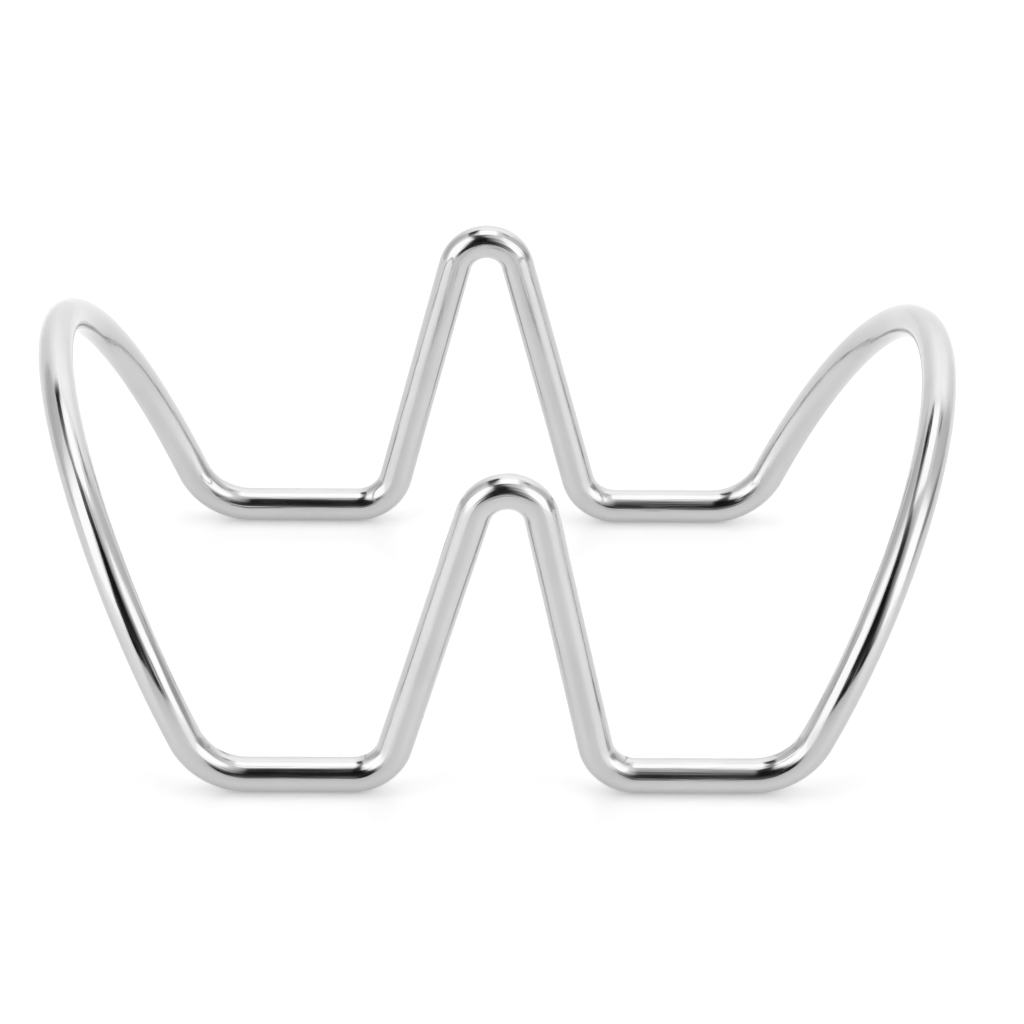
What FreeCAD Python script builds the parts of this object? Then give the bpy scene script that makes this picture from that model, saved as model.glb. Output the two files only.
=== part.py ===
import FreeCAD, Part
import os
import Sketcher
from math import asin, atan2, cos, hypot, pi, radians, sin, tan

# A rack that stands two tacos upright, bent from one round wire into a closed loop.
# Two upright side frames, front and back, each have two flat feet with an arch between.
# An end bow at the left and at the right leans outwards and joins the two frames.
# X runs along the frames, Y from the front frame to the back one, and Z is up.
# The origin lies on the table, under the middle of the loop.

# Driving sizes, in millimetres and degrees. A bend's radius is the one inside the wire.
SIZES = {
    "wire_diameter": 4.8,
    "frame_spacing": 85.0,  # between the centrelines of the front and back frames
    "foot_span": 80.5,  # between the outer corners of a frame's two feet
    "outer_bend_radius": 7.1,
    "inner_bend_radius": 3.6,
    "arch_base": 29.4,  # between the inner corners of a frame's two feet
    "arch_offset": 0.9,  # how far the arch's base lies to one side of its top
    "arch_height": 47.4,  # from the table to the top of the wire
    "arch_bend_radius": 2.3,
    "bow_tilt": 25.0,  # lean of the end bows from the vertical
    "bow_leg": 1.0,  # straight run between an outer bend and its bow
}

# The centreline's own sizes, as formulas on the sheet
WIRE_RADIUS = "Sizes.wire_diameter / 2"
OUTER_BEND = f"Sizes.outer_bend_radius + {WIRE_RADIUS}"
INNER_BEND = f"Sizes.inner_bend_radius + {WIRE_RADIUS}"
ARCH_BEND = f"Sizes.arch_bend_radius + {WIRE_RADIUS}"
ARCH_CENTRE = "Sizes.arch_height - Sizes.wire_diameter - Sizes.arch_bend_radius"
BOW_RADIUS = "Sizes.frame_spacing / 2"

# The sketcher's numbers for its origin and axes, and for a curve's ends and centre
ORIGIN = -1
X_AXIS = -1
Y_AXIS = -2
START = 1
END = 2
CENTRE = 3

ACROSS = FreeCAD.Vector(1, 0, 0)
ALONG = FreeCAD.Vector(0, 1, 0)
NORMAL = FreeCAD.Vector(0, 0, 1)


def add_sheet(doc):
    sheet = doc.addObject("Spreadsheet::Sheet", "Sizes")
    for row, (alias, value) in enumerate(SIZES.items(), start=1):
        sheet.set(f"A{row}", alias)
        sheet.set(f"B{row}", str(value))
        sheet.setAlias(f"B{row}", alias)
    doc.recompute()


def origin_item(body, role):
    return next(item for item in body.Origin.OriginFeatures if item.Role == role)


def add_sketch(body, name, plane_role, offset, tilt_axis=None):
    sketch = body.newObject("Sketcher::SketchObject", name)
    sketch.AttachmentSupport = [(origin_item(body, plane_role), "")]
    sketch.MapMode = "FlatFace"
    if tilt_axis:
        tilt = FreeCAD.Rotation(tilt_axis, SIZES["bow_tilt"])
        sketch.AttachmentOffset = FreeCAD.Placement(FreeCAD.Vector(), tilt)
        sketch.setExpression("AttachmentOffset.Rotation.Angle", "Sizes.bow_tilt")
    for direction, formula in offset.items():
        sketch.setExpression(f"AttachmentOffset.Base.{direction}", formula)
    return sketch


def tie(sketch, kind, *where):
    sketch.addConstraint(Sketcher.Constraint(kind, *where))


def set_size(sketch, name, formula, kind, *where):
    value = sketch.evalExpression(formula)
    number = sketch.addConstraint(
        Sketcher.Constraint(kind, *where, radians(value) if kind == "Angle" else float(value))
    )
    sketch.renameConstraint(number, name)
    sketch.setExpression(f"Constraints.{name}", formula)


def read_size(sketch, name, kind, *where):
    number = sketch.addConstraint(Sketcher.Constraint(kind, *where, 1.0))
    sketch.setDriving(number, False)
    sketch.renameConstraint(number, name)


def arc(centre, start, end):
    # Runs anticlockwise from start to end
    angles = [atan2(point.y - centre.y, point.x - centre.x) for point in (start, end)]
    circle = Part.Circle(centre, NORMAL, centre.distanceToPoint(start))
    return Part.ArcOfCircle(circle, *angles)


def round_corner(corner, one_way, other_way, radius):
    # The ends and the centre of a bend, between two directions that leave the corner
    half_angle = one_way.getAngle(other_way) / 2
    reach = radius / tan(half_angle)
    centre = corner + (one_way + other_way).normalize() * (radius / sin(half_angle))
    return corner + one_way * reach, corner + other_way * reach, centre


def arch_side(sketch, side):
    # A foot's inner corner, the arch's top centre, and where the slope between meets
    # the top bend. Side 1 is the right half of the front frame, and side -1 the left.
    inner_corner = FreeCAD.Vector(
        side * SIZES["arch_base"] / 2 - SIZES["arch_offset"], sketch.evalExpression(WIRE_RADIUS)
    )
    top_centre = FreeCAD.Vector(0, sketch.evalExpression(ARCH_CENTRE))
    radius = sketch.evalExpression(ARCH_BEND)
    run, rise = abs(inner_corner.x), top_centre.y - inner_corner.y
    lean = atan2(run, rise) - asin(radius / hypot(run, rise))
    return inner_corner, top_centre, top_centre + FreeCAD.Vector(side * cos(lean), sin(lean)) * radius


def draw_half_frame(sketch, side, word, top_bend):
    # One leg, one foot and one slope of the arch, with the bends between them.
    # In the left half the arcs run the other way, so their ends change places.
    first, last = (START, END)[::side]
    tilt = radians(SIZES["bow_tilt"])
    up_bow = FreeCAD.Vector(side * sin(tilt), cos(tilt))
    inner_corner, _, slope_top = arch_side(sketch, side)
    outer_corner = FreeCAD.Vector(side * SIZES["foot_span"] / 2, inner_corner.y)
    up_slope = (slope_top - inner_corner).normalize()
    outwards = ACROSS * side
    foot_out, leg_low, outer_centre = round_corner(
        outer_corner, outwards * -1, up_bow, sketch.evalExpression(OUTER_BEND)
    )
    slope_low, foot_in, inner_centre = round_corner(
        inner_corner, up_slope, outwards, sketch.evalExpression(INNER_BEND)
    )
    leg, outer_bend, foot, inner_bend, slope = sketch.addGeometry(
        [
            Part.LineSegment(leg_low, leg_low + up_bow * SIZES["bow_leg"]),
            arc(outer_centre, *(foot_out, leg_low)[::side]),
            Part.LineSegment(foot_out, foot_in),
            arc(inner_centre, *(slope_low, foot_in)[::side]),
            Part.LineSegment(slope_low, slope_top),
        ]
    )
    outer, inner = sketch.addGeometry([Part.Point(outer_corner), Part.Point(inner_corner)], True)
    tie(sketch, "Tangent", leg, START, outer_bend, last)
    tie(sketch, "Tangent", outer_bend, first, foot, START)
    tie(sketch, "Tangent", foot, END, inner_bend, last)
    tie(sketch, "Tangent", inner_bend, first, slope, START)
    tie(sketch, "Tangent", slope, END, top_bend, first)
    tie(sketch, "Horizontal", foot)
    for corner, line in ((outer, leg), (outer, foot), (inner, foot), (inner, slope)):
        tie(sketch, "PointOnObject", corner, START, line)
    outer_place = f"{side} * Sizes.foot_span / 2"
    inner_place = f"{side} * Sizes.arch_base / 2 - Sizes.arch_offset"
    set_size(sketch, f"{word}_outer_corner", outer_place, "DistanceX", ORIGIN, START, outer, START)
    set_size(sketch, f"{word}_inner_corner", inner_place, "DistanceX", ORIGIN, START, inner, START)
    set_size(sketch, f"{word}_foot_height", WIRE_RADIUS, "DistanceY", ORIGIN, START, foot, START)
    set_size(sketch, f"{word}_outer_bend", OUTER_BEND, "Radius", outer_bend)
    set_size(sketch, f"{word}_inner_bend", INNER_BEND, "Radius", inner_bend)
    set_size(sketch, f"{word}_leg", "Sizes.bow_leg", "Distance", leg)
    set_size(sketch, f"{word}_tilt", f"90 - {side} * Sizes.bow_tilt", "Angle", leg)
    return leg


def draw_frame_path(body):
    # The centreline of the whole front frame, from the right bow to the left one
    sketch = add_sketch(body, "frame_path", "XZ_Plane", {"z": "Sizes.frame_spacing / 2"})
    _, top_centre, right_touch = arch_side(sketch, 1)
    left_touch = arch_side(sketch, -1)[-1]
    top_bend = sketch.addGeometry(arc(top_centre, right_touch, left_touch))
    tie(sketch, "PointOnObject", top_bend, CENTRE, Y_AXIS)
    set_size(sketch, "arch_centre", ARCH_CENTRE, "DistanceY", ORIGIN, START, top_bend, CENTRE)
    set_size(sketch, "arch_bend", ARCH_BEND, "Radius", top_bend)
    right_leg = draw_half_frame(sketch, 1, "right", top_bend)
    draw_half_frame(sketch, -1, "left", top_bend)
    read_size(sketch, "bow_start_out", "DistanceX", ORIGIN, START, right_leg, END)
    read_size(sketch, "bow_start_up", "DistanceY", ORIGIN, START, right_leg, END)
    return sketch


def draw_bow_path(body):
    # The right bow's centreline, a half circle in a plane that leans outwards
    place = {"y": "frame_path.Constraints.bow_start_up", "z": "frame_path.Constraints.bow_start_out"}
    sketch = add_sketch(body, "bow_path", "YZ_Plane", place, ACROSS)
    circle = Part.Circle(FreeCAD.Vector(), NORMAL, sketch.evalExpression(BOW_RADIUS))
    bow = sketch.addGeometry(Part.ArcOfCircle(circle, 0, pi))
    tie(sketch, "Coincident", bow, CENTRE, ORIGIN, START)
    tie(sketch, "PointOnObject", bow, START, X_AXIS)
    tie(sketch, "PointOnObject", bow, END, X_AXIS)
    set_size(sketch, "bow_radius", BOW_RADIUS, "Radius", bow)
    return sketch


def draw_wire_section(body):
    # The wire's round section, where the front frame's right leg meets its bow
    place = {
        "x": "frame_path.Constraints.bow_start_out",
        "y": "-Sizes.frame_spacing / 2",
        "z": "frame_path.Constraints.bow_start_up",
    }
    sketch = add_sketch(body, "wire_section", "XY_Plane", place, ALONG)
    wire = sketch.addGeometry(Part.Circle(FreeCAD.Vector(), NORMAL, SIZES["wire_diameter"] / 2))
    tie(sketch, "Coincident", wire, CENTRE, ORIGIN, START)
    set_size(sketch, "wire_diameter", "Sizes.wire_diameter", "Diameter", wire)
    return sketch


def sweep(body, name, section, path):
    pipe = body.newObject("PartDesign::AdditivePipe", name)
    pipe.Profile = section
    pipe.Spine = path
    return pipe


def build_wire_frame(doc):
    # The front frame and the right bow make half of the loop. The other half repeats
    # the same run of bends, half a turn further round the upright axis.
    body = doc.addObject("PartDesign::Body", "wire_frame")
    frame_path = draw_frame_path(body)
    doc.recompute()
    section = draw_wire_section(body)
    side_frame = sweep(body, "side_frame", section, frame_path)
    end_bow = sweep(body, "end_bow", section, draw_bow_path(body))
    whole_loop = body.newObject("PartDesign::PolarPattern", "whole_loop")
    whole_loop.Originals = [side_frame, end_bow]
    whole_loop.Axis = (origin_item(body, "Z_Axis"), [""])
    whole_loop.Angle = 360
    whole_loop.Occurrences = 2
    body.Tip = whole_loop
    return body


def check(doc, body):
    for item in doc.Objects:
        if {"Invalid", "Error"} & set(item.State):
            raise RuntimeError(f"{item.Name} did not compute: {item.State}")
    if body.Shape.isNull() or not body.Shape.isValid():
        raise RuntimeError(f"{body.Label} has no valid shape")
    half_length = doc.frame_path.Shape.Length + doc.bow_path.Shape.Length
    section_area = pi * (SIZES["wire_diameter"] / 2) ** 2
    print(f"{body.Label}: {len(body.Shape.Solids)} solid, {2 * half_length:.1f} mm of wire")
    print(f"volume {body.Shape.Volume:.2f}, section times length {2 * half_length * section_area:.2f}")


def main():
    doc = FreeCAD.newDocument("TacoHolder")
    add_sheet(doc)
    wire_frame = build_wire_frame(doc)
    doc.recompute()
    check(doc, wire_frame)
    os.makedirs("parts", exist_ok=True)
    wire_frame.Shape.exportStep(f"parts/{wire_frame.Label}.step")


main()
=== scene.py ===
import bmesh
import bpy
from math import asin, atan2, cos, hypot, pi, radians, sin, tan
from mathutils import Matrix, Vector


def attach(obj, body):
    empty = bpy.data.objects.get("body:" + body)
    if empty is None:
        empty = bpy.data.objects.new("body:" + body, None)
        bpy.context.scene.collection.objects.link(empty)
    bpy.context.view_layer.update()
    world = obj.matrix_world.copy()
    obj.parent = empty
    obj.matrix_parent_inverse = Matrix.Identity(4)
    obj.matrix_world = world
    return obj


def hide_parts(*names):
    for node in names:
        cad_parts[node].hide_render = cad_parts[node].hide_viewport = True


# A rack for two tacos, bent from one polished wire: the wire, its finish and a small white studio.
# Metres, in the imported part's own frame: X along the side frames, Z up, the table at z = 0.

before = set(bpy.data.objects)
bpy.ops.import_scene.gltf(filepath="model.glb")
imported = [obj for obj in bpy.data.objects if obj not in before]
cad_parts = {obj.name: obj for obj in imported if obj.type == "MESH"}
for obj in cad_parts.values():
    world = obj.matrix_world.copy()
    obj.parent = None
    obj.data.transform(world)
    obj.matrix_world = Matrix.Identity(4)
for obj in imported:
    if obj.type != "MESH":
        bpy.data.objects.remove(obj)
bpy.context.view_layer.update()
print("frame loaded:", sorted(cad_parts))


def put(tree, kind, inputs=None, **settings):
    # A node with its settings, and each input set to a value or linked to an output
    node = tree.nodes.new(kind)
    for name, value in settings.items():
        setattr(node, name, value)
    for key, value in (inputs or {}).items():
        if isinstance(value, bpy.types.NodeSocket):
            tree.links.new(value, node.inputs[key])
        else:
            node.inputs[key].default_value = value
    return node


def maths(tree, operation, *values):
    return put(tree, "ShaderNodeMath", dict(enumerate(values)), operation=operation).outputs[0]


def softStep(tree, value, low, high, start=0.0, end=1.0):
    # From start, where value is low, to end, where it is high
    limits = {"Value": value, "From Min": low, "From Max": high, "To Min": start, "To Max": end}
    return put(tree, "ShaderNodeMapRange", limits, interpolation_type="SMOOTHSTEP").outputs["Result"]


# The wire

wireSizes = dict(
    wireDiameter=0.0048,
    frameSpacing=0.085,  # between the centrelines of the front and back frames
    footSpan=0.0805,  # between the outer corners of a frame's two feet
    outerBend=0.0095,  # bend radii, to the wire's centreline
    innerBend=0.006,
    archBend=0.0047,
    archBase=0.0294,  # between the inner corners of a frame's two feet
    archOffset=0.0009,  # how far the arch's base lies to one side of its top
    archHeight=0.0474,
    bowTilt=radians(25),
    bowLeg=0.001,  # straight run between an outer bend and its bow
    ringStep=0.00036,  # between one ring of points and the next, along the wire
    sectionSides=56,
    stepsPerBend=90,
)


def bendPlan(sizes):
    # The corners of the loop before bending, each with its bend's radius, for the front frame
    # and the right bow. Half a turn about Z gives the other half of the loop.
    footHeight = sizes["wireDiameter"] / 2
    front = -sizes["frameSpacing"] / 2
    topCentre = Vector((0, sizes["archHeight"] - footHeight - sizes["archBend"]))
    outerX = sizes["footSpan"] / 2

    def slope(side):
        # A line up one side of the arch, from its foot's inner corner
        corner = Vector((side * sizes["archBase"] / 2 - sizes["archOffset"], footHeight))
        run, rise = abs(corner.x), topCentre.y - corner.y
        lean = atan2(run, rise) - asin(sizes["archBend"] / hypot(run, rise))
        return corner, corner + Vector((-side * sin(lean), cos(lean)))

    (innerRight, upRight), (innerLeft, upLeft) = slope(1), slope(-1)
    apex = crossing(innerRight, upRight, innerLeft, upLeft)
    turn = pi / 2 - sizes["bowTilt"]
    bowReach = sizes["outerBend"] * tan(turn / 2) + sizes["bowLeg"] + sizes["frameSpacing"] / 2
    bowOut, bowUp = bowReach * sin(sizes["bowTilt"]), bowReach * cos(sizes["bowTilt"])
    bowRadius = sizes["frameSpacing"] / 2
    half = [
        (Vector((outerX + bowOut, -front, footHeight + bowUp)), bowRadius),
        (Vector((outerX + bowOut, front, footHeight + bowUp)), bowRadius),
        (Vector((outerX, front, footHeight)), sizes["outerBend"]),
        (Vector((innerRight.x, front, footHeight)), sizes["innerBend"]),
        (Vector((apex.x, front, apex.y)), sizes["archBend"]),
        (Vector((innerLeft.x, front, footHeight)), sizes["innerBend"]),
        (Vector((-outerX, front, footHeight)), sizes["outerBend"]),
    ]
    return half + [(Vector((-corner.x, -corner.y, corner.z)), radius) for corner, radius in half]


def crossing(a, b, c, d):
    # Where the line through a and b meets the line through c and d, in a plane
    first, second, gap = b - a, d - c, c - a
    share = (gap.x * second.y - gap.y * second.x) / (first.x * second.y - first.y * second.x)
    return a + first * share


def planMesh(name, plan):
    # The unbent loop: its corners joined by straight edges, each corner with its bend radius
    mesh = bpy.data.meshes.new(name)
    edges = [(i, (i + 1) % len(plan)) for i in range(len(plan))]
    mesh.from_pydata([corner for corner, _ in plan], edges, [])
    radii = mesh.attributes.new("bendRadius", "FLOAT", "POINT")
    radii.data.foreach_set("value", [radius for _, radius in plan])
    return mesh


def bentWireTree(material):
    # Bends the loop at its corners, divides it evenly and sweeps the round section along it
    tree = bpy.data.node_groups.new("bentWire", "GeometryNodeTree")
    face = tree.interface
    face.new_socket("Geometry", in_out="INPUT", socket_type="NodeSocketGeometry")
    face.new_socket("Wire Diameter", in_out="INPUT", socket_type="NodeSocketFloat")
    face.new_socket("Ring Step", in_out="INPUT", socket_type="NodeSocketFloat")
    face.new_socket("Section Sides", in_out="INPUT", socket_type="NodeSocketInt")
    face.new_socket("Steps Per Bend", in_out="INPUT", socket_type="NodeSocketInt")
    face.new_socket("Geometry", in_out="OUTPUT", socket_type="NodeSocketGeometry")
    given = put(tree, "NodeGroupInput").outputs

    def store(geometry, name, value):
        node = put(tree, "GeometryNodeStoreNamedAttribute", data_type="FLOAT_VECTOR", domain="POINT")
        tree.links.new(geometry, node.inputs["Geometry"])
        node.inputs["Name"].default_value = name
        tree.links.new(value, node.inputs["Value"])
        return node.outputs["Geometry"]

    loop = put(tree, "GeometryNodeMeshToCurve", {"Mesh": given["Geometry"]}).outputs[0]
    radius = put(tree, "GeometryNodeInputNamedAttribute", {"Name": "bendRadius"}, data_type="FLOAT")
    bent = put(
        tree, "GeometryNodeFilletCurve",
        {"Curve": loop, "Radius": radius.outputs["Attribute"], "Count": given["Steps Per Bend"]},
        mode="POLY",
    ).outputs[0]
    even = put(
        tree, "GeometryNodeResampleCurve", {"Curve": bent, "Length": given["Ring Step"]}, mode="LENGTH"
    ).outputs[0]

    # Where each point lies along the wire, as a place on a circle as long as the wire,
    # so that a pattern closes on itself, and where it lies in the round section
    turn = maths(tree, "MULTIPLY", put(tree, "GeometryNodeSplineParameter").outputs["Factor"], 2 * pi)
    length = put(tree, "GeometryNodeCurveLength", {"Curve": even}).outputs["Length"]
    reach = maths(tree, "DIVIDE", length, 2 * pi)
    runPlace = put(
        tree, "ShaderNodeCombineXYZ",
        {
            "X": maths(tree, "MULTIPLY", maths(tree, "COSINE", turn), reach),
            "Y": maths(tree, "MULTIPLY", maths(tree, "SINE", turn), reach),
        },
    ).outputs[0]
    path = store(even, "alongWire", runPlace)
    path = put(tree, "GeometryNodeSetCurveRadius", {"Curve": path, "Radius": 1.0}).outputs[0]
    circle = put(
        tree, "GeometryNodeCurvePrimitiveCircle",
        {
            "Resolution": given["Section Sides"],
            "Radius": maths(tree, "DIVIDE", given["Wire Diameter"], 2.0),
        },
        mode="RADIUS",
    ).outputs["Curve"]
    section = store(circle, "acrossWire", put(tree, "GeometryNodeInputPosition").outputs[0])
    wire = put(tree, "GeometryNodeCurveToMesh", {"Curve": path, "Profile Curve": section}).outputs[0]
    smooth = put(tree, "GeometryNodeSetShadeSmooth", {"Geometry": wire}).outputs[0]
    real = put(tree, "GeometryNodeRealizeInstances", {"Geometry": smooth}).outputs[0]
    done = put(tree, "GeometryNodeSetMaterial", {"Geometry": real, "Material": material}).outputs[0]
    put(tree, "NodeGroupOutput", {"Geometry": done})
    return tree


def socketNamed(tree, name):
    return next(
        item.identifier for item in tree.interface.items_tree
        if item.name == name and item.in_out == "INPUT"
    )


def plainCopy(source, name, material):
    # What the modifiers give, as a plain mesh on a new object
    bpy.context.view_layer.update()
    seen = source.evaluated_get(bpy.context.evaluated_depsgraph_get())
    mesh = bpy.data.meshes.new_from_object(seen)
    mesh.name = name
    for modifier in list(source.modifiers):
        source.modifiers.remove(modifier)
    bpy.data.objects.remove(source)
    mesh.materials.clear()
    mesh.materials.append(material)
    piece = bpy.data.objects.new(name, mesh)
    bpy.context.scene.collection.objects.link(piece)
    return piece


def makeWireLoop(sizes, material):
    plan = bendPlan(sizes)
    source = bpy.data.objects.new("wirePlan", planMesh("wirePlan", plan))
    bpy.context.scene.collection.objects.link(source)
    tree = bentWireTree(material)
    modifier = source.modifiers.new("bentWire", "NODES")
    modifier.node_group = tree
    modifier[socketNamed(tree, "Wire Diameter")] = sizes["wireDiameter"]
    modifier[socketNamed(tree, "Ring Step")] = sizes["ringStep"]
    modifier[socketNamed(tree, "Section Sides")] = sizes["sectionSides"]
    modifier[socketNamed(tree, "Steps Per Bend")] = sizes["stepsPerBend"]
    wire = plainCopy(source, "polished_wire_loop", material)
    print("wire:", len(wire.data.vertices), "points,", len(wire.data.polygons), "faces")
    return wire


# The wire's finish

finishSizes = dict(
    steel=(0.567, 0.567, 0.567, 1.0),
    brightSteel=(0.592, 0.592, 0.592, 1.0),
    roughness=(0.085, 0.14),  # of the least and the most worn places
    patchWidth=0.004,
    patchLength=0.009,
    patchEdges=(0.35, 0.65),  # noise levels from which a patch starts and at which it is full
    lineWear=0.35,  # the drawing lines' share of the wear, where the patches have the rest
    drawLineWidth=0.00034,
    drawLineLength=0.016,
    drawLineDepth=(0.00001, 0.00005),  # outside the patches and inside them
    drawLineEdges=(0.4, 0.6),  # the patches' noise levels between which that depth changes
    rippleWidth=0.0016,
    rippleLength=0.007,
    rippleDepth=0.000012,
)


def wireNoise(tree, width, length, detail):
    # Noise stretched along the wire. It closes round the section and round the whole loop.
    across = put(tree, "ShaderNodeAttribute", attribute_name="acrossWire").outputs["Vector"]
    along = put(tree, "ShaderNodeAttribute", attribute_name="alongWire").outputs["Vector"]
    section = put(tree, "ShaderNodeSeparateXYZ", {0: across}).outputs
    run = put(tree, "ShaderNodeSeparateXYZ", {0: along}).outputs
    place = put(
        tree, "ShaderNodeCombineXYZ",
        {
            "X": maths(tree, "DIVIDE", section["X"], width),
            "Y": maths(tree, "DIVIDE", section["Y"], width),
            "Z": maths(tree, "DIVIDE", run["X"], length),
        },
    ).outputs[0]
    noise = put(tree, "ShaderNodeTexNoise", noise_dimensions="4D")
    tree.links.new(place, noise.inputs["Vector"])
    tree.links.new(maths(tree, "DIVIDE", run["Y"], length), noise.inputs["W"])
    noise.inputs["Scale"].default_value = 1.0
    noise.inputs["Detail"].default_value = detail
    return noise.outputs["Fac"]


def polishedSteel(sizes):
    material = bpy.data.materials.new("polishedSteel")
    material.use_nodes = True
    tree = material.node_tree
    shader = tree.nodes["Principled BSDF"]
    shader.inputs["Metallic"].default_value = 1.0
    drawLines = wireNoise(tree, sizes["drawLineWidth"], sizes["drawLineLength"], detail=2.0)
    ripple = wireNoise(tree, sizes["rippleWidth"], sizes["rippleLength"], detail=1.0)
    patches = wireNoise(tree, sizes["patchWidth"], sizes["patchLength"], detail=3.0)

    colour = put(tree, "ShaderNodeMix", data_type="RGBA")
    tree.links.new(softStep(tree, patches, *sizes["patchEdges"]), colour.inputs["Factor"])
    colour.inputs["A"].default_value = sizes["steel"]
    colour.inputs["B"].default_value = sizes["brightSteel"]
    tree.links.new(colour.outputs["Result"], shader.inputs["Base Color"])

    patchWear = maths(tree, "MULTIPLY", patches, 1.0 - sizes["lineWear"])
    wear = maths(tree, "MULTIPLY_ADD", drawLines, sizes["lineWear"], patchWear)
    rough = softStep(tree, wear, *sizes["patchEdges"], *sizes["roughness"])
    tree.links.new(rough, shader.inputs["Roughness"])

    depth = softStep(tree, patches, *sizes["drawLineEdges"], *sizes["drawLineDepth"])
    lines = put(tree, "ShaderNodeBump", {"Height": drawLines, "Distance": depth})
    waves = put(
        tree, "ShaderNodeBump",
        {"Height": ripple, "Distance": sizes["rippleDepth"], "Normal": lines.outputs["Normal"]},
    )
    tree.links.new(waves.outputs["Normal"], shader.inputs["Normal"])
    return material


steel = polishedSteel(finishSizes)
wireLoop = makeWireLoop(wireSizes, steel)
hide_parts("wire_frame")
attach(wireLoop, "root")
print("wire dressed")


# The studio: a pale floor, soft lamps that light it, and panels that only the polished wire
# reflects: the lit fronts of the softboxes, and the darker gaps and sides of the room round them.

studio = dict(
    floorRadius=4.0,
    floorSides=96,
    floorTone=0.86,
    floorGloss=0.5,
    floorRoughness=0.3,
    floorGlow=0.26,
    worldLight=0.55,
    panelSteps=40,
)

# Lamps: direction as azimuth and elevation, distance, width and height, and brightness
lamps = dict(
    overhead=dict(azimuth=180, elevation=82, distance=1.6, width=1.2, height=1.2, light=1.22),
    left=dict(azimuth=-61, elevation=35, distance=1.6, width=1.3, height=1.3, light=0.96),
    right=dict(azimuth=56, elevation=35, distance=1.6, width=1.3, height=1.3, light=0.96),
)

# Panels, in degrees. over: from the front horizon up over the top to the back horizon.
# sides: how far to the left and right each reaches, in even steps from its lower to its upper end.
# glow: its brightness, likewise. soft: how wide its left side, right side, lower end and upper end
# fade. away: its distance, where a nearer panel hides what hangs behind it.
panels = dict(
    backWall=dict(
        over=(110, 184), sides=[(-36, 56)], glow=[1.42, 1.46, 1.36, 1.18, 1.12],
        soft=(36, 30, 12, 3), away=2.5,
    ),
    leftCorner=dict(
        over=(92, 184), sides=[(-89, -24), (-89, -26), (-89, -28), (-89, -40), (-89, -52)],
        glow=[0.76, 0.78, 0.68, 0.74, 0.9], soft=(9, 9, 16, 3), away=2.46,
    ),
    rightCorner=dict(
        over=(72, 184), sides=[(28, 89), (27, 89), (42, 89), (50, 89), (52, 89)],
        glow=[0.85, 0.8, 0.74, 0.7, 0.7], soft=(14, 14, 14, 3), away=2.42,
    ),
    rightEnd=dict(
        over=(-10, 176), sides=[(68, 89)], glow=[0.6, 0.5, 0.38, 0.38, 0.5], soft=(8, 6, 2, 12),
        away=2.38,
    ),
    leftSoftbox=dict(
        over=(-6, 104), sides=[(-83, -34), (-82, -26), (-78, -21), (-66, -26)],
        glow=[1.6, 1.68, 1.68, 1.5], soft=(9, 9, 12, 38), away=2.34,
    ),
    rightSoftbox=dict(
        over=(-6, 78), sides=[(36, 76), (26, 76), (19, 74), (24, 68)],
        glow=[1.6, 1.7, 1.7, 1.5], soft=(10, 10, 12, 15), away=2.3,
    ),
    overheadSoftbox=dict(
        over=(75, 122), sides=[(-16, 23), (-15, 24), (-14, 20)],
        glow=[1.68], soft=(6, 8, 3, 14), away=2.26,
    ),
    rightPatch=dict(
        over=(97, 114), sides=[(24, 40)], glow=[0.4], soft=(6, 6, 6, 5), away=2.22,
    ),
    frontShade=dict(
        over=(2, 82), sides=[(-34, 46), (-33, 42), (-28, 33), (-23, 27), (-20, 22), (-18, 17)],
        glow=[0.1, 0.04, 0.02, 0.02, 0.02, 0.05, 0.22, 0.8, 1.5], soft=(8, 34, 3, 8), away=2.14,
    ),
    frontCore=dict(
        over=(18, 66), sides=[(-34, 4), (-27, 5), (-23, 4), (-21, 3)],
        glow=[0.02, 0.01, 0.01, 0.04], soft=(8, 5, 6, 8), away=2.12,
    ),
    leftGap=dict(
        over=(54, 124),
        sides=[
            (-25, 3), (-24, 0), (-26, -4), (-30, -13), (-33, -19), (-33, -15), (-32, -10), (-31, -7),
            (-32, -9),
        ],
        glow=[0.03, 0.05, 0.12, 0.4, 0.38, 0.2, 0.05, 0.01, 0.02], soft=(5, 5, 5, 8), away=2.1,
    ),
    frontLow=dict(
        over=(-8, 16), sides=[(-34, 24), (-34, 30), (-33, 32)],
        glow=[0.02, 0.01, 0.02], soft=(9, 14, 3, 10), away=2.06,
    ),
    frontHaze=dict(
        over=(0, 34), sides=[(-7, 9)], glow=[0.34, 0.17, 0.06, 0.03, 0.02, 0.02],
        soft=(6, 4, 1, 12), away=2.02,
    ),
)


def direction(azimuth, elevation):
    # Azimuth 0 is towards the front, 90 towards +X
    a, e = radians(azimuth), radians(elevation)
    return Vector((sin(a) * cos(e), -cos(a) * cos(e), sin(e)))


def between(low, high, share):
    return low + (high - low) * share


def showWhite(tree):
    # 1 for the rays that show the background: from the camera, and off or through a surface
    rays = put(tree, "ShaderNodeLightPath").outputs
    seen = maths(tree, "MAXIMUM", rays["Is Camera Ray"], rays["Is Glossy Ray"])
    return maths(tree, "MAXIMUM", seen, rays["Is Transmission Ray"])


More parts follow.
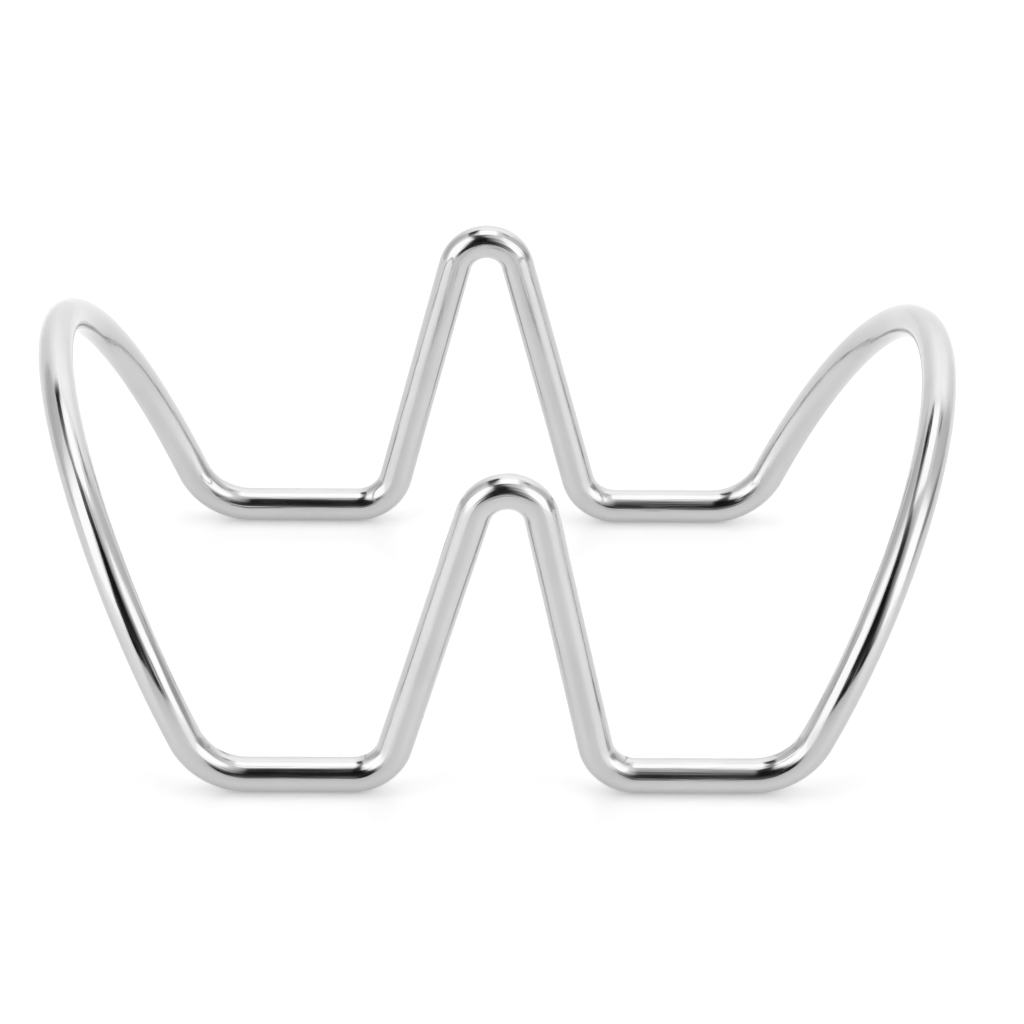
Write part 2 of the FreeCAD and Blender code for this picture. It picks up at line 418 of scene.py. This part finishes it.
def paleFloor():
    mesh = bpy.data.meshes.new("floor")
    shape = bmesh.new()
    bmesh.ops.create_circle(
        shape, cap_ends=True, segments=studio["floorSides"], radius=studio["floorRadius"]
    )
    shape.to_mesh(mesh)
    shape.free()
    material = bpy.data.materials.new("paleFloor")
    material.use_nodes = True
    tree = material.node_tree
    shader = tree.nodes["Principled BSDF"]
    tone = studio["floorTone"]
    shader.inputs["Base Color"].default_value = (tone, tone, tone, 1)
    shader.inputs["Roughness"].default_value = studio["floorRoughness"]
    shader.inputs["Specular IOR Level"].default_value = studio["floorGloss"]
    shader.inputs["Emission Color"].default_value = (1, 1, 1, 1)
    glow = maths(tree, "MULTIPLY", showWhite(tree), studio["floorGlow"])
    tree.links.new(glow, shader.inputs["Emission Strength"])
    mesh.materials.append(material)
    floor = bpy.data.objects.new("paleFloor", mesh)
    bpy.context.scene.collection.objects.link(floor)


def whiteWorld():
    world = bpy.data.worlds.new("whiteStudio")
    bpy.context.scene.world = world
    world.use_nodes = True
    tree = world.node_tree
    tree.nodes["Background"].inputs["Color"].default_value = (1, 1, 1, 1)
    plain = studio["worldLight"]
    strength = maths(tree, "MULTIPLY_ADD", showWhite(tree), 1.0 - plain, plain)
    tree.links.new(strength, tree.nodes["Background"].inputs["Strength"])


def softLamp(name, azimuth, elevation, distance, width, height, light):
    lamp = bpy.data.lights.new(name, "AREA")
    lamp.shape = "RECTANGLE"
    lamp.size, lamp.size_y = width, height
    lamp.energy = pi * width * height * light  # so that light is the brightness of its face
    box = bpy.data.objects.new(name, lamp)
    out = direction(azimuth, elevation)
    box.location = out * distance
    box.rotation_euler = out.to_track_quat("Z", "Y").to_euler()
    box.visible_glossy = False
    bpy.context.scene.collection.objects.link(box)


def valueAt(values, share):
    # The value at this share of the way through evenly spaced ones
    place = share * (len(values) - 1)
    before = int(place)
    after = min(before + 1, len(values) - 1)
    return between(values[before], values[after], place - before)


def fade(inside, width):
    # From 0 at an edge to 1 where it is a fading width inside it
    share = min(inside / width, 1.0)
    return share * share * (3 - 2 * share)


def panelMesh(name, sizes):
    # Part of a round tent about the wire, with each point's brightness and how much it hides
    steps = studio["panelSteps"]
    low, high = sizes["over"]
    leftSides, rightSides = zip(*sizes["sides"])
    leftFade, rightFade, lowFade, highFade = sizes["soft"]
    points, glows, covers = [], [], []
    for i in range(steps + 1):
        angle = between(low, high, i / steps)
        left, right = valueAt(leftSides, i / steps), valueAt(rightSides, i / steps)
        for j in range(steps + 1):
            lean = between(left, right, j / steps)
            points.append(tentPlace(lean, angle) * sizes["away"])
            glows.append(valueAt(sizes["glow"], i / steps))
            ends = fade(angle - low, lowFade) * fade(high - angle, highFade)
            covers.append(ends * fade(lean - left, leftFade) * fade(right - lean, rightFade))
    row = steps + 1
    corners = [i * row + j for i in range(steps) for j in range(steps)]
    faces = [(k, k + 1, k + row + 1, k + row) for k in corners]
    mesh = bpy.data.meshes.new(name)
    mesh.from_pydata(points, [], faces)
    for label, values in (("glow", glows), ("cover", covers)):
        mesh.attributes.new(label, "FLOAT", "POINT").data.foreach_set("value", values)
    return mesh


def tentPlace(lean, angle):
    lean, angle = radians(lean), radians(angle)
    return Vector((sin(lean), -cos(lean) * cos(angle), cos(lean) * sin(angle)))


def panelMaterial():
    # Glows as bright as each point says, and fades to clear where it hides nothing
    material = bpy.data.materials.new("panelGlow")
    material.use_nodes = True
    tree = material.node_tree
    tree.nodes.clear()
    glow = put(tree, "ShaderNodeAttribute", attribute_name="glow").outputs["Fac"]
    cover = put(tree, "ShaderNodeAttribute", attribute_name="cover").outputs["Fac"]
    lit = put(tree, "ShaderNodeEmission", {"Color": (1, 1, 1, 1), "Strength": glow}).outputs[0]
    clear = put(tree, "ShaderNodeBsdfTransparent").outputs[0]
    mixed = put(tree, "ShaderNodeMixShader", {0: cover, 1: clear, 2: lit}).outputs[0]
    put(tree, "ShaderNodeOutputMaterial", {"Surface": mixed})
    return material


def hangPanels():
    material = panelMaterial()
    for name, sizes in panels.items():
        mesh = panelMesh(name, sizes)
        mesh.materials.append(material)
        panel = bpy.data.objects.new(name, mesh)
        panel.visible_camera = panel.visible_diffuse = panel.visible_shadow = False
        bpy.context.scene.collection.objects.link(panel)


paleFloor()
whiteWorld()
for name, sizes in lamps.items():
    softLamp(name + "Lamp", **sizes)
hangPanels()
print("studio lit")


# The camera, where the photograph was taken from

cameraSizes = dict(
    azimuth=-2.748,
    elevation=25.565,
    roll=1.511,
    distance=0.79337,
    target=(0.002653, 0.0, 0.021637),
    lens=197.80,
    sensorWidth=36.0,
    seesFrom=0.01,
    seesTo=20.0,
)


def photoCamera(sizes):
    data = bpy.data.cameras.new("photoCamera")
    data.lens = sizes["lens"]
    data.sensor_width = sizes["sensorWidth"]
    data.clip_start = sizes["seesFrom"]
    data.clip_end = sizes["seesTo"]
    camera = bpy.data.objects.new("photoCamera", data)
    back = direction(sizes["azimuth"], sizes["elevation"])
    across = Vector((0, 0, 1)).cross(back).normalized()
    upright = back.cross(across)
    turn = Matrix.Rotation(radians(sizes["roll"]), 3, back)
    axes = Matrix([turn @ across, turn @ upright, back]).transposed()
    place = Vector(sizes["target"]) + back * sizes["distance"]
    camera.matrix_world = Matrix.Translation(place) @ axes.to_4x4()
    bpy.context.scene.collection.objects.link(camera)
    bpy.context.scene.camera = camera


photoCamera(cameraSizes)
bpy.context.scene.view_settings.view_transform = "Standard"
print("camera placed")
